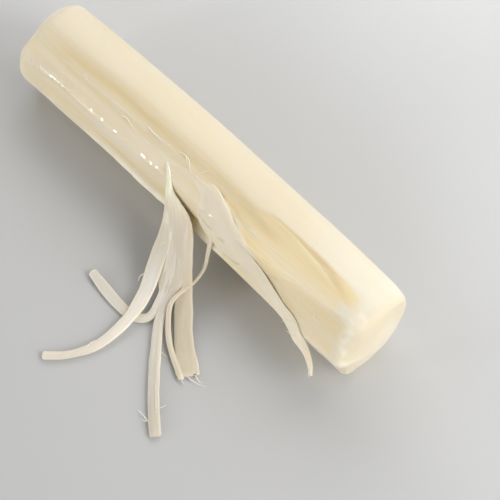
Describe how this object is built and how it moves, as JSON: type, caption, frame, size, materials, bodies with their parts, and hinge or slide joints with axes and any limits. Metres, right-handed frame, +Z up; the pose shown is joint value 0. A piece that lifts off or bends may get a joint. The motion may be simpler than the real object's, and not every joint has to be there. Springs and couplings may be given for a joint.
{
  "type": "string cheese stick",
  "caption": "Partly pulled stick of mozzarella string cheese: a round stick with a torn face along it, a hanging strip and loose strings fanned out beside it.",
  "frame": {"origin": "middle of the narrow flat that the stick rests on, level with the table", "axes": "+X along the stick towards its squarely cut end, +Y away from the pulled side, +Z up"},
  "size_m": [0.0938, 0.0557, 0.0191],
  "materials": {
    "cheese": "moist satin"
  },
  "bodies": {
    "root": {"string_cheese": "cheese"}
  },
  "joints": []
}
